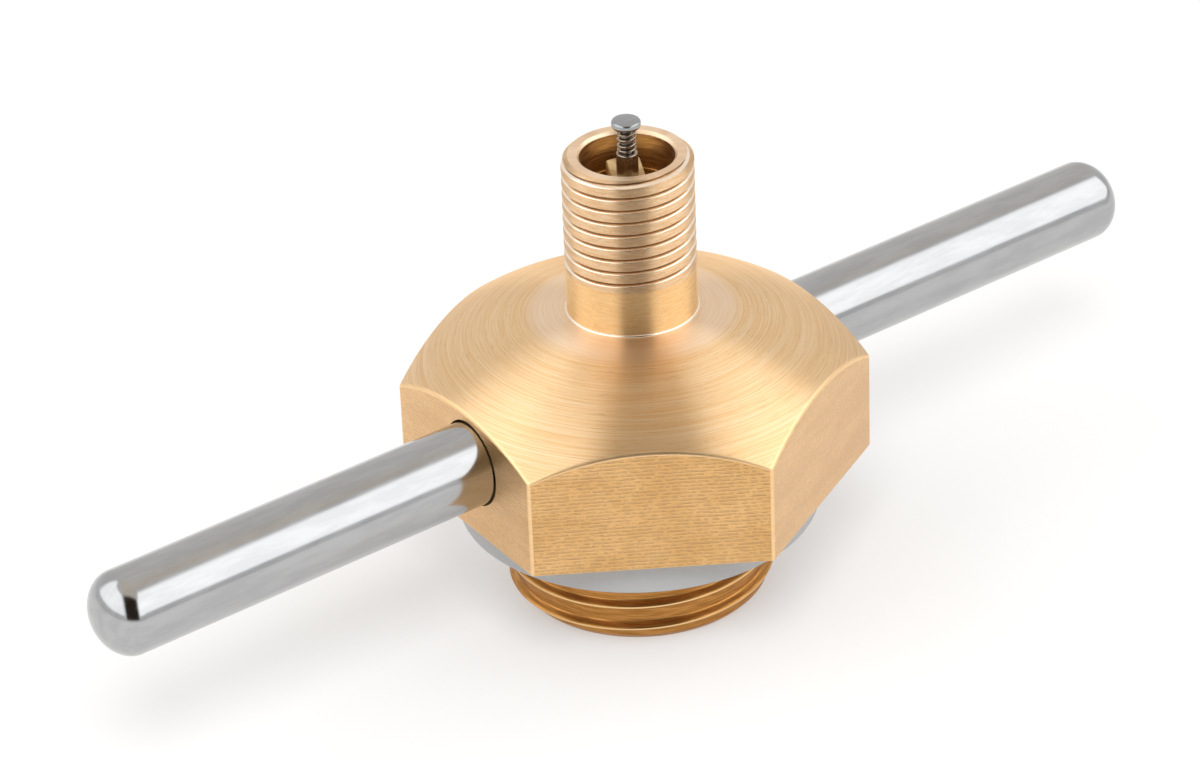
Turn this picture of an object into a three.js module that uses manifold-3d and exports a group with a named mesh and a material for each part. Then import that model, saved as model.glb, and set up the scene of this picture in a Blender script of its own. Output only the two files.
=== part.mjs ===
// Brass filler cap for a pressure tank, with a tyre-type valve in its stem and a steel tee handle.
// Millimetres, +Z up. The origin is the centre of the screwed boss's lower face, on the cap's axis,
// and +X runs along the tee handle.
import * as THREE from "three";
import { mergeVertices } from "three/addons/utils/BufferGeometryUtils.js";
import Module from "manifold-3d";

const wasm = await Module();
wasm.setup();

// ---- Driving dimensions -------------------------------------------------------------------------

const INCH = 25.4;

// Heights along the axis, from the boss's lower face to the stem's mouth.
const HEX_BOTTOM = 7.8; // underside of the hexagon
const SHOULDER_TOP = 18.4; // foot of the stem
const STEM_THREAD_BOTTOM = 21.3;
const STEM_TOP = 28.35;

// Hexagon and shoulder.
const HEX_ACROSS_FLATS = 24;
const HEX_CLOCKING = THREE.MathUtils.degToRad(-4.1); // the flats sit this far round from the handle
const SHOULDER_RADIUS = 15.4; // of the arc turned on the hexagon
const SHOULDER_OFFSET = 3; // of the arc's centre, out from the axis

// Stem, with the standard valve thread 0.305 in - 32.
const STEM_RADIUS = 3.85;
const STEM_PITCH = INCH / 32;
const STEM_CHAMFER = 0.35;

// Boss that screws into the tank, M16 x 1.5, with a relief under the hexagon where the thread ends.
const BOSS_RADIUS = 8;
const BOSS_PITCH = 1.5;
const BOSS_CHAMFER = 0.7;
const RELIEF_RADIUS = 7;
const RELIEF_LENGTH = 2.6;

// Sealing washer.
const WASHER_RADIUS = 10.75;
const WASHER_HOLE_RADIUS = 8.15; // slips over the boss's thread
const WASHER_THICKNESS = 2.45;

// Tee handle: two rods, each screwed into a blind cross hole.
const HANDLE_HEIGHT = 12.45; // of the rods' axis
const HANDLE_HALF_SPAN = 37.5;
const ROD_RADIUS = 2.5;
const ROD_END_LENGTH = 1.9; // of the domed end, along the rod
const ROD_SHOULDER_X = 8; // where the rod steps down to its screwed stub
const ROD_STUB_X = 3.6;
const ROD_STUB_RADIUS = 1.9;
const ROD_HOLE_CLEARANCE = 0.12;
const STUB_HOLE_CLEARANCE = 0.05;
const STUB_HOLE_X = 3.4;

// Bore of the stem and the gas way below it.
const MOUTH_RADIUS = 2.75;
const MOUTH_DEPTH = 2.35;
const CORE_BORE_RADIUS = 2.66;
const SEAT_TOP = 21.6; // conical seat for the core's barrel seal
const SEAT_BOTTOM = 20.4;
const GAS_WAY_RADIUS = 1.8;
const GAS_WAY_CHAMFER = 0.6;

// Valve core, with the standard core thread 0.209 in - 36.
const PLUG_RADIUS = 2.58;
const PLUG_PITCH = INCH / 36;
const PLUG_BOTTOM = 22.6;
const PLUG_TOP = 25.4;
const BRIDGE_TOP = 27; // tongue that the core tool grips
const BRIDGE_WIDTH = 2;
const BRIDGE_RADIUS = 2.2;
const BRIDGE_TURN = THREE.MathUtils.degToRad(60.6); // of the tongue's length from +X
const COLLAR_TOP = 28.4; // spring seat
const COLLAR_RADIUS = 0.62;
const COLLAR_RECESS_RADIUS = 0.76;
const COLLAR_RECESS_DEPTH = 1.1;
const PIN_HOLE_RADIUS = 0.42;
const SWIVEL_NECK_RADIUS = 1.05;
const SWIVEL_HEAD_RADIUS = 1.28;
const SWIVEL_HEAD_BOTTOM = 22.95;
const SWIVEL_HEAD_TOP = 23.6;
const SWIVEL_CLEARANCE = 0.07;

const BARREL_FLANGE_RADIUS = 2.25;
const BARREL_FLANGE_BOTTOM = 21.95;
const BARREL_FLANGE_TOP = 22.3;
const BARREL_RADIUS = 1.45;
const BARREL_HOLE_RADIUS = 0.85;
const BARREL_BOTTOM = 14.6;

const SEAL_BOTTOM = 20.65;
const SEAL_TOP_RADIUS = 2.5;
const SEAL_BOTTOM_RADIUS = 1.94;
const FIT_GAP = 0.03; // between pieces that are pressed together

const PIN_RADIUS = 0.36;
const PIN_TOP = 30.5;
const PIN_HEAD_RADIUS = 0.86;
const PIN_HEAD_HEIGHT = 0.55;
const PIN_TIP_RADIUS = 0.56;
const PIN_TIP_HEIGHT = 0.3;

const SEAT_SEAL_RADIUS = 1.2;
const SEAT_SEAL_HEIGHT = 0.85;
const CUP_RADIUS = 1.42;
const CUP_FLOOR = 0.3;
const CUP_WALL_HEIGHT = 0.5;

const SPRING_COIL_RADIUS = 0.54; // to the middle of the wire
const SPRING_WIRE_RADIUS = 0.08;
const SPRING_TURNS = 4.5;

const SMALL_ROUND = 20; // segments of small round pieces
const ROUND = 32;
const LARGE_ROUND = 48;

// ---- Solids -------------------------------------------------------------------------------------

// A closed three.js geometry as a manifold-3d solid.
function solidOf(geometry) {
  const bare = geometry.clone();
  bare.deleteAttribute("normal");
  bare.deleteAttribute("uv");
  const merged = mergeVertices(bare, 1e-4);
  const mesh = new wasm.Mesh({
    numProp: 3,
    vertProperties: merged.attributes.position.array,
    triVerts: new Uint32Array(merged.index.array),
  });
  return new wasm.Manifold(mesh);
}

// A manifold-3d solid as a three.js geometry.
function geometryOf(solid) {
  const mesh = solid.getMesh();
  const positions = new THREE.BufferAttribute(Float32Array.from(mesh.vertProperties), mesh.numProp);
  const geometry = new THREE.BufferGeometry().setAttribute("position", positions);
  geometry.setIndex(new THREE.BufferAttribute(mesh.triVerts, 1));
  geometry.computeVertexNormals();
  return geometry;
}

// A solid turned about Z. The profile holds [radius, height] pairs going up the outside.
function turned(profile, segments = ROUND) {
  const points = profile.map(([radius, height]) => new THREE.Vector2(radius, height));
  return solidOf(new THREE.LatheGeometry(points, segments).rotateX(Math.PI / 2));
}

// A plain cylinder about Z from one height to another.
function disc(radius, bottom, top, segments = ROUND) {
  return turned([[0, bottom], [radius, bottom], [radius, top], [0, top]], segments);
}

// A ring about Z.
function ring(innerRadius, outerRadius, bottom, top, segments = ROUND) {
  const section = [
    [innerRadius, bottom],
    [outerRadius, bottom],
    [outerRadius, top],
    [innerRadius, top],
    [innerRadius, bottom],
  ];
  return turned(section, segments);
}

// A solid about Z, laid along X at the handle's height, on the side that sign gives.
function alongX(solid, sign) {
  return solid.rotate([0, 90 * sign, 0]).translate([0, 0, HANDLE_HEIGHT]);
}

// A right-hand 60 degree thread about Z, with flats an eighth of the pitch wide on its crests and a
// quarter wide in its roots. Its rows of vertices follow the helix, and it runs a pitch past both ends
// of the stretch asked for, where the caller trims it.
function thread(majorRadius, pitch, bottom, top, segments) {
  const rootRadius = majorRadius - 0.54 * pitch;
  const profile = [
    [rootRadius, 0],
    [rootRadius, 0.25],
    [majorRadius, 0.5625],
    [majorRadius, 0.6875],
  ];
  const rowsPerTurn = profile.length;
  const rows = Math.ceil((top - bottom) / pitch + 3) * rowsPerTurn;
  const start = bottom - 2 * pitch;
  const positions = [];
  const firstIndex = []; // of each column of vertices
  for (let column = 0; column < segments; column++) {
    firstIndex.push(positions.length / 3);
    const angle = (2 * Math.PI * column) / segments;
    // The first column also serves as the last one, a whole turn further up.
    const count = column === 0 ? rows + rowsPerTurn : rows;
    for (let row = 0; row <= count; row++) {
      const [radius, share] = profile[row % rowsPerTurn];
      const turn = Math.floor(row / rowsPerTurn) + share + column / segments;
      positions.push(radius * Math.cos(angle), radius * Math.sin(angle), start + turn * pitch);
    }
  }
  const at = (column, row) =>
    column === segments ? firstIndex[0] + row + rowsPerTurn : firstIndex[column] + row;
  const bottomCentre = positions.length / 3;
  positions.push(0, 0, start);
  const topCentre = bottomCentre + 1;
  positions.push(0, 0, start + (rows / rowsPerTurn + 1) * pitch);
  const faces = [];
  for (let column = 0; column < segments; column++) {
    for (let row = 0; row < rows; row++) {
      faces.push(at(column, row), at(column + 1, row), at(column + 1, row + 1));
      faces.push(at(column, row), at(column + 1, row + 1), at(column, row + 1));
    }
    faces.push(bottomCentre, at(column + 1, 0), at(column, 0));
    faces.push(topCentre, at(column, rows), at(column + 1, rows));
  }
  for (let row = 0; row < rowsPerTurn; row++) {
    faces.push(bottomCentre, at(0, row), at(0, row + 1));
    faces.push(topCentre, at(0, rows + row + 1), at(0, rows + row));
  }
  const geometry = new THREE.BufferGeometry();
  geometry.setAttribute("position", new THREE.BufferAttribute(new Float32Array(positions), 3));
  geometry.setIndex(faces);
  return solidOf(geometry);
}

// ---- Cap body -----------------------------------------------------------------------------------

const hexCornerRadius = HEX_ACROSS_FLATS / Math.sqrt(3);

// The turned envelope that rounds the hexagon's top off, up to the foot of the stem.
function shoulderEnvelope() {
  const rimRadius = hexCornerRadius + 1;
  const from = Math.asin((rimRadius - SHOULDER_OFFSET) / SHOULDER_RADIUS);
  const steps = 9;
  const profile = [[0, HEX_BOTTOM], [rimRadius, HEX_BOTTOM]];
  for (let i = 0; i <= steps; i++) {
    const angle = from * (1 - i / steps);
    const radius = SHOULDER_OFFSET + SHOULDER_RADIUS * Math.sin(angle);
    profile.push([radius, SHOULDER_TOP - SHOULDER_RADIUS * (1 - Math.cos(angle))]);
  }
  profile.push([0, SHOULDER_TOP]);
  return turned(profile, LARGE_ROUND);
}

function hexagon() {
  const outline = new THREE.Shape();
  for (let i = 0; i < 6; i++) {
    const angle = HEX_CLOCKING + Math.PI / 6 + (i * Math.PI) / 3;
    outline.lineTo(hexCornerRadius * Math.cos(angle), hexCornerRadius * Math.sin(angle));
  }
  outline.curves.shift(); // the line from the origin, where a new shape starts
  outline.closePath();
  const depth = SHOULDER_TOP - HEX_BOTTOM + 1;
  const prism = new THREE.ExtrudeGeometry(outline, { depth, bevelEnabled: false });
  return solidOf(prism).translate([0, 0, HEX_BOTTOM]);
}

function stem() {
  const neck = disc(STEM_RADIUS - 0.02, SHOULDER_TOP - 1, STEM_THREAD_BOTTOM + 0.5);
  const envelope = turned([
    [0, STEM_THREAD_BOTTOM],
    [STEM_RADIUS - 0.3, STEM_THREAD_BOTTOM],
    [STEM_RADIUS + 0.2, STEM_THREAD_BOTTOM + 0.5],
    [STEM_RADIUS + 0.2, STEM_TOP - STEM_CHAMFER],
    [STEM_RADIUS - STEM_CHAMFER, STEM_TOP],
    [0, STEM_TOP],
  ]);
  const threaded = thread(STEM_RADIUS, STEM_PITCH, STEM_THREAD_BOTTOM, STEM_TOP, ROUND);
  return threaded.intersect(envelope).add(neck);
}

function boss() {
  const threadTop = HEX_BOTTOM - RELIEF_LENGTH;
  const envelope = turned([
    [0, 0],
    [BOSS_RADIUS - BOSS_CHAMFER, 0],
    [BOSS_RADIUS + 0.2, BOSS_CHAMFER + 0.2],
    [BOSS_RADIUS + 0.2, threadTop - 0.9],
    [RELIEF_RADIUS, threadTop + 0.3],
    [0, threadTop + 0.3],
  ], LARGE_ROUND);
  const threaded = thread(BOSS_RADIUS, BOSS_PITCH, 0, threadTop, LARGE_ROUND);
  const relief = disc(RELIEF_RADIUS, threadTop - 0.5, HEX_BOTTOM + 1, LARGE_ROUND);
  return threaded.intersect(envelope).add(relief);
}

// The stem's stepped bore and the gas way that runs on down through the boss.
function valveBore() {
  return turned([
    [0, -1],
    [GAS_WAY_RADIUS + GAS_WAY_CHAMFER + 1, -1],
    [GAS_WAY_RADIUS, GAS_WAY_CHAMFER],
    [GAS_WAY_RADIUS, SEAT_BOTTOM],
    [CORE_BORE_RADIUS, SEAT_TOP],
    [CORE_BORE_RADIUS, STEM_TOP - MOUTH_DEPTH],
    [MOUTH_RADIUS, STEM_TOP - MOUTH_DEPTH],
    [MOUTH_RADIUS, STEM_TOP + 1],
    [0, STEM_TOP + 1],
  ]);
}

// The blind hole that takes one rod: a clearance length for the rod and a screwed length for its stub.
function rodHole(sign) {
  const mouth = disc(ROD_RADIUS + ROD_HOLE_CLEARANCE, ROD_SHOULDER_X, hexCornerRadius + 2);
  const stub = disc(ROD_STUB_RADIUS + STUB_HOLE_CLEARANCE, STUB_HOLE_X, ROD_SHOULDER_X + 1, SMALL_ROUND);
  return alongX(mouth.add(stub), sign);
}

function capBody() {
  const outside = hexagon().intersect(shoulderEnvelope()).add(stem()).add(boss());
  return outside.subtract(valveBore()).subtract(rodHole(1)).subtract(rodHole(-1));
}

// ---- Handle and washer --------------------------------------------------------------------------

// One rod of the tee handle: a screwed stub, the shank, and a domed outer end.
function handleRod(sign) {
  const domeSteps = 6;
  const domeStart = HANDLE_HALF_SPAN - ROD_END_LENGTH;
  const profile = [
    [0, ROD_STUB_X],
    [ROD_STUB_RADIUS, ROD_STUB_X],
    [ROD_STUB_RADIUS, ROD_SHOULDER_X],
    [ROD_RADIUS, ROD_SHOULDER_X],
  ];
  for (let i = 0; i < domeSteps; i++) {
    const angle = (Math.PI / 2) * (i / domeSteps);
    profile.push([ROD_RADIUS * Math.cos(angle), domeStart + ROD_END_LENGTH * Math.sin(angle)]);
  }
  profile.push([0, HANDLE_HALF_SPAN]);
  return alongX(turned(profile), sign);
}

function sealingWasher() {
  const bottom = HEX_BOTTOM - WASHER_THICKNESS;
  return ring(WASHER_HOLE_RADIUS, WASHER_RADIUS, bottom, HEX_BOTTOM, LARGE_ROUND);
}

// ---- Valve core ---------------------------------------------------------------------------------

// The threaded plug: a tongue and a spring collar on top, and underneath a socket that the barrel's
// head turns in.
function corePlug() {
  const envelope = turned([
    [0, PLUG_BOTTOM],
    [PLUG_RADIUS - 0.35, PLUG_BOTTOM],
    [PLUG_RADIUS + 0.1, PLUG_BOTTOM + 0.45],
    [PLUG_RADIUS + 0.1, PLUG_TOP - 0.45],
    [PLUG_RADIUS - 0.35, PLUG_TOP],
    [0, PLUG_TOP],
  ]);
  const threaded = thread(PLUG_RADIUS, PLUG_PITCH, PLUG_BOTTOM, PLUG_TOP, SMALL_ROUND);
  const tongueBlock = new THREE.BoxGeometry(2 * BRIDGE_RADIUS + 1, BRIDGE_WIDTH, BRIDGE_TOP - PLUG_TOP + 1);
  tongueBlock.rotateZ(BRIDGE_TURN).translate(0, 0, (BRIDGE_TOP + PLUG_TOP - 1) / 2);
  const tongue = solidOf(tongueBlock).intersect(disc(BRIDGE_RADIUS, PLUG_TOP - 1, BRIDGE_TOP, SMALL_ROUND));
  const recessBottom = BRIDGE_TOP - COLLAR_RECESS_DEPTH;
  const recess = ring(COLLAR_RADIUS, COLLAR_RECESS_RADIUS, recessBottom, BRIDGE_TOP + 1, SMALL_ROUND);
  const collar = disc(COLLAR_RADIUS, recessBottom - 0.3, COLLAR_TOP, SMALL_ROUND);
  const pinHole = disc(PIN_HOLE_RADIUS, PLUG_BOTTOM - 1, COLLAR_TOP + 1, SMALL_ROUND);
  const lipRadius = SWIVEL_NECK_RADIUS + SWIVEL_CLEARANCE;
  const socketRadius = SWIVEL_HEAD_RADIUS + SWIVEL_CLEARANCE;
  const socket = turned([
    [0, PLUG_BOTTOM - 1],
    [lipRadius, PLUG_BOTTOM - 1],
    [lipRadius, SWIVEL_HEAD_BOTTOM - SWIVEL_CLEARANCE],
    [socketRadius, SWIVEL_HEAD_BOTTOM - SWIVEL_CLEARANCE],
    [socketRadius, SWIVEL_HEAD_TOP + SWIVEL_CLEARANCE],
    [0, SWIVEL_HEAD_TOP + SWIVEL_CLEARANCE],
  ], SMALL_ROUND);
  const outside = threaded.intersect(envelope).add(tongue).subtract(recess).add(collar);
  return outside.subtract(pinHole).subtract(socket);
}

// The barrel: a head held by the plug, a flange above its seal, and the tube down to the valve seat.
function coreBarrel() {
  return turned([
    [BARREL_HOLE_RADIUS, BARREL_BOTTOM],
    [BARREL_RADIUS - 0.25, BARREL_BOTTOM],
    [BARREL_RADIUS, BARREL_BOTTOM + 0.5],
    [BARREL_RADIUS, BARREL_FLANGE_BOTTOM],
    [BARREL_FLANGE_RADIUS, BARREL_FLANGE_BOTTOM],
    [BARREL_FLANGE_RADIUS, BARREL_FLANGE_TOP],
    [SWIVEL_NECK_RADIUS, BARREL_FLANGE_TOP],
    [SWIVEL_NECK_RADIUS, SWIVEL_HEAD_BOTTOM],
    [SWIVEL_HEAD_RADIUS, SWIVEL_HEAD_BOTTOM],
    [SWIVEL_HEAD_RADIUS, SWIVEL_HEAD_TOP],
    [BARREL_HOLE_RADIUS, SWIVEL_HEAD_TOP],
    [BARREL_HOLE_RADIUS, BARREL_BOTTOM],
  ], SMALL_ROUND);
}

// The tapered seal on the barrel, which beds in the stem's conical seat.
function barrelSeal() {
  const innerRadius = BARREL_RADIUS + FIT_GAP;
  return turned([
    [innerRadius, SEAL_BOTTOM],
    [SEAL_BOTTOM_RADIUS, SEAL_BOTTOM],
    [SEAL_TOP_RADIUS, SEAT_TOP],
    [SEAL_TOP_RADIUS, BARREL_FLANGE_BOTTOM],
    [innerRadius, BARREL_FLANGE_BOTTOM],
    [innerRadius, SEAL_BOTTOM],
  ], SMALL_ROUND);
}

const cupBottom = BARREL_BOTTOM - SEAT_SEAL_HEIGHT - CUP_FLOOR;

// The pin: a nail head, the stem through the core, and a riveted tip under the cup.
function corePin() {
  const headBottom = PIN_TOP - PIN_HEAD_HEIGHT;
  const edge = 0.16;
  return turned([
    [0, cupBottom - PIN_TIP_HEIGHT],
    [PIN_TIP_RADIUS, cupBottom - PIN_TIP_HEIGHT],
    [PIN_TIP_RADIUS, cupBottom],
    [PIN_RADIUS, cupBottom],
    [PIN_RADIUS, headBottom],
    [PIN_HEAD_RADIUS - edge, headBottom],
    [PIN_HEAD_RADIUS, headBottom + edge],
    [PIN_HEAD_RADIUS, PIN_TOP - edge],
    [PIN_HEAD_RADIUS - edge, PIN_TOP],
    [0, PIN_TOP],
  ], SMALL_ROUND);
}

function seatSeal() {
  const bottom = BARREL_BOTTOM - SEAT_SEAL_HEIGHT;
  return ring(PIN_RADIUS + FIT_GAP, SEAT_SEAL_RADIUS, bottom, BARREL_BOTTOM, SMALL_ROUND);
}

function sealCup() {
  const floorTop = cupBottom + CUP_FLOOR;
  const wallInside = SEAT_SEAL_RADIUS + FIT_GAP;
  return turned([
    [PIN_RADIUS + FIT_GAP, cupBottom],
    [CUP_RADIUS, cupBottom],
    [CUP_RADIUS, floorTop + CUP_WALL_HEIGHT],
    [wallInside, floorTop + CUP_WALL_HEIGHT],
    [wallInside, floorTop],
    [PIN_RADIUS + FIT_GAP, floorTop],
    [PIN_RADIUS + FIT_GAP, cupBottom],
  ], SMALL_ROUND);
}

// The coil spring between the plug's collar and the pin's head.
class SpringLine extends THREE.Curve {
  getPoint(share, target = new THREE.Vector3()) {
    const angle = share * SPRING_TURNS * 2 * Math.PI;
    const bottom = COLLAR_TOP + SPRING_WIRE_RADIUS + FIT_GAP;
    const top = PIN_TOP - PIN_HEAD_HEIGHT - SPRING_WIRE_RADIUS - FIT_GAP;
    const height = bottom + (top - bottom) * share;
    return target.set(SPRING_COIL_RADIUS * Math.cos(angle), SPRING_COIL_RADIUS * Math.sin(angle), height);
  }
}

function coreSpring() {
  const section = new THREE.Shape();
  section.absarc(0, 0, SPRING_WIRE_RADIUS, 0, 2 * Math.PI);
  const steps = Math.round(SPRING_TURNS * 12);
  const options = { steps, curveSegments: 3, extrudePath: new SpringLine() };
  return solidOf(new THREE.ExtrudeGeometry(section, options));
}

// ---- Assembly -----------------------------------------------------------------------------------

const brass = new THREE.MeshStandardMaterial({ color: 0xd9a866, roughness: 0.34, metalness: 1 });
const coreBrass = new THREE.MeshStandardMaterial({ color: 0xcdb28a, roughness: 0.35, metalness: 1 });
const polishedSteel = new THREE.MeshStandardMaterial({ color: 0xc6c8ca, roughness: 0.12, metalness: 1 });
const springSteel = new THREE.MeshStandardMaterial({ color: 0xb0a99c, roughness: 0.25, metalness: 1 });
const greyRubber = new THREE.MeshStandardMaterial({ color: 0xafb2b4, roughness: 0.65, metalness: 0 });
const sealRubber = new THREE.MeshStandardMaterial({ color: 0x2a2a2c, roughness: 0.7, metalness: 0 });

const cap = new THREE.Group();

function place(name, solid, material) {
  const mesh = new THREE.Mesh(geometryOf(solid), material);
  mesh.name = name;
  cap.add(mesh);
}

place("cap_body", capBody(), brass);
place("left_handle_rod", handleRod(-1), polishedSteel);
place("right_handle_rod", handleRod(1), polishedSteel);
place("sealing_washer", sealingWasher(), greyRubber);
place("core_plug", corePlug(), coreBrass);
place("core_barrel", coreBarrel(), coreBrass);
place("barrel_seal", barrelSeal(), sealRubber);
place("core_pin", corePin(), polishedSteel);
place("core_spring", coreSpring(), springSteel);
place("seat_seal", seatSeal(), sealRubber);
place("seal_cup", sealCup(), coreBrass);

export default cap;
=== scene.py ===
"""Brass filler cap with a tyre-type valve and a steel tee handle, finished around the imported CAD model.

Lengths are worked out in millimetres in the model's own frame (+Z up the cap's axis, +X along the
handle), and turned into metres when a mesh is made.
"""

import math

import bpy
import numpy as np
from mathutils import Matrix, Vector


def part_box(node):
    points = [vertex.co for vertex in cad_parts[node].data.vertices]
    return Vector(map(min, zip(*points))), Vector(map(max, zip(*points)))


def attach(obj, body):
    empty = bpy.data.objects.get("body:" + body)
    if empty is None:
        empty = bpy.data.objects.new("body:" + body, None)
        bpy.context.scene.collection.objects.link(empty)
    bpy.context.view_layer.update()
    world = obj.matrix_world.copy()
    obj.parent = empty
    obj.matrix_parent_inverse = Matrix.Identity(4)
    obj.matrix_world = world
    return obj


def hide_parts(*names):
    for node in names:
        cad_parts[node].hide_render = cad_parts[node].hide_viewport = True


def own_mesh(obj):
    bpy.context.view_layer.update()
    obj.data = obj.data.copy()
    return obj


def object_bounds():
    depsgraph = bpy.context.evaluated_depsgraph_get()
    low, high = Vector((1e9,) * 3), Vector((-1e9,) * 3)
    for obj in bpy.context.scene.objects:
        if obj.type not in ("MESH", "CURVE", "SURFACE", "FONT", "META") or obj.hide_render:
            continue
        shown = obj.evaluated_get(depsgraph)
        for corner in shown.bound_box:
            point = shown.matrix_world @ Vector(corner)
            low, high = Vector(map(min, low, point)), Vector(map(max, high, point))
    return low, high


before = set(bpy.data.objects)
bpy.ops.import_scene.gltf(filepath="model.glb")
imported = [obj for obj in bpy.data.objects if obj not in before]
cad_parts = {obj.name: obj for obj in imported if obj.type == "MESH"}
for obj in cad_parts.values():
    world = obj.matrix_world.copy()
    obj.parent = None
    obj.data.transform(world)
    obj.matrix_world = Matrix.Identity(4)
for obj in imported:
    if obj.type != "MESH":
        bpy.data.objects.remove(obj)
cad_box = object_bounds()

MM = 0.001


def node_box(node):
    """A CAD node's lowest and highest corners in millimetres."""
    low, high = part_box(node)
    return np.array(low) / MM, np.array(high) / MM


# ---- Dimensions, from the frame where it has them ------------------------------------------------

body_high = node_box("cap_body")[1]
washer_low, washer_high = node_box("sealing_washer")
rod_low, rod_high = node_box("right_handle_rod")
plug_low, plug_high = node_box("core_plug")
pin_low, pin_high = node_box("core_pin")
spring_low, spring_high = node_box("core_spring")

STEM_TOP = body_high[2]
HEX_BOTTOM = washer_high[2]
HANDLE_HEIGHT = (rod_low[2] + rod_high[2]) / 2
ROD_RADIUS = (rod_high[2] - rod_low[2]) / 2
WASHER_RADIUS = washer_high[0]
PIN_TOP = pin_high[2]
PIN_HEAD_RADIUS = pin_high[0]
COLLAR_TOP = plug_high[2]

HEX_ACROSS_FLATS = 24
HEX_CLOCKING = math.radians(-4.1)
HEX_CORNER_FILLET = 0.25
SHOULDER_TOP = 18.4
SHOULDER_RADIUS = 15.4
SHOULDER_OFFSET = 3
NECK_RADIUS = 3.83
FOOT_FILLET = 0.16  # between the shoulder and the neck
STEM_THREAD_BOTTOM = 21.25
STEM_RADIUS = 3.85
STEM_PITCH = 25.4 / 32
BOSS_RADIUS = 8
BOSS_PITCH = 1.5
BOSS_THREAD_TOP = HEX_BOTTOM - 2.6
RELIEF_RADIUS = 7
RIM_CHAMFER = 0.36
RIM_SLOPE = 1.1  # how far the chamfer runs in for each millimetre up
RIM_INNER_RADIUS = 2.92
STUB_HOLE_RADIUS = 1.95
BOSS_CREST = 1.045  # height of a crest, at the crest facing
STEM_GROOVE = 0.367  # height of a groove's middle above a whole pitch, at the crest facing
MOUTH_RADIUS = 2.75
MOUTH_BOTTOM = STEM_TOP - 2.35
CORE_BORE_RADIUS = 2.66
SEAT_TOP = 21.6
SEAT_BOTTOM = 20.4
GAS_WAY_RADIUS = 1.8
ROD_HOLE_CLEARANCE = 0.12
WASHER_HOLE_RADIUS = 8.15
PLUG_PITCH = 25.4 / 36
PLUG_TOP = 25.4
PIN_HOLE_RADIUS = 0.42
CREST_FACING = math.radians(232.8)  # where round the axis the thread phases are set

# stripes along a thread: its pitch, where they start, and how far they reach from there
# the lip stripes carry a painted highlight on a smoother finish, and the shade stripe carries painted shade
STEM_HIGHLIGHT_STRIPE = (STEM_PITCH, STEM_GROOVE, STEM_PITCH - 0.15, STEM_PITCH - 0.03)
STEM_SHADE = (STEM_PITCH, STEM_GROOVE - 0.04, 0.0, 0.1)
BOSS_HIGHLIGHT_STRIPE = (BOSS_PITCH, BOSS_CREST - 0.05, 0.0, 0.11)

# ---- Camera, floor and light ---------------------------------------------------------------------

CAMERA_AT = Vector((-0.13811, -0.18180, 0.14837))
CAMERA_AIM = Vector((0.00185, 0.00593, 0.00991))
CAMERA_ROLL = math.radians(-2.326)
CAMERA_LENS = 135.59

TENT = 0.83  # brightness of the white tent all round
SOFT_BOX_LEFT = 1.88
SOFT_BOX_RIGHT = 2.08
STRIP_FRONT = (0.04, 0.028, 0.02, 1)
STRIP_ABOVE = (0.86, 0.78, 0.68, 1)
STRIP_BEHIND = (0.86, 0.84, 0.82, 1)
FLOOR_GLOW = 0.34


def add_camera():
    data = bpy.data.cameras.new("camera")
    data.lens = CAMERA_LENS
    data.sensor_width = 36
    data.clip_start = 0.01
    camera = bpy.data.objects.new("camera", data)
    look = (CAMERA_AIM - CAMERA_AT).to_track_quat("-Z", "Y").to_matrix()
    turn = look @ Matrix.Rotation(CAMERA_ROLL, 3, "Z")
    camera.matrix_world = Matrix.Translation(CAMERA_AT) @ turn.to_4x4()
    bpy.context.scene.collection.objects.link(camera)
    bpy.context.scene.camera = camera


class Nodes:
    """A short way to wire a node tree."""

    def __init__(self, tree):
        self.tree = tree
        tree.nodes.clear()

    def add(self, kind, inputs=None, **settings):
        node = self.tree.nodes.new(kind)
        for name, value in settings.items():
            setattr(node, name, value)
        for socket, value in (inputs or {}).items():
            if isinstance(value, bpy.types.NodeSocket):
                self.tree.links.new(value, node.inputs[socket])
            else:
                node.inputs[socket].default_value = value
        return node

    def math(self, operation, a, b=0.0, clamp=False):
        node = self.add("ShaderNodeMath", {0: a, 1: b}, operation=operation, use_clamp=clamp)
        return node.outputs[0]

    def ramp(self, value, low, high):
        """0 below low, 1 above high, and smooth between them."""
        inputs = {"Value": value, "From Min": low, "From Max": high}
        node = self.add("ShaderNodeMapRange", inputs, interpolation_type="SMOOTHSTEP")
        return node.outputs["Result"]

    def mix(self, share, a, b):
        """A blend of two numbers."""
        node = self.add("ShaderNodeMix", {0: share, 2: a, 3: b}, data_type="FLOAT")
        return node.outputs[0]

    def blend(self, share, a, b):
        """A blend of two colours."""
        node = self.add("ShaderNodeMix", {0: share, 6: a, 7: b}, data_type="RGBA")
        return node.outputs[2]


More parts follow.
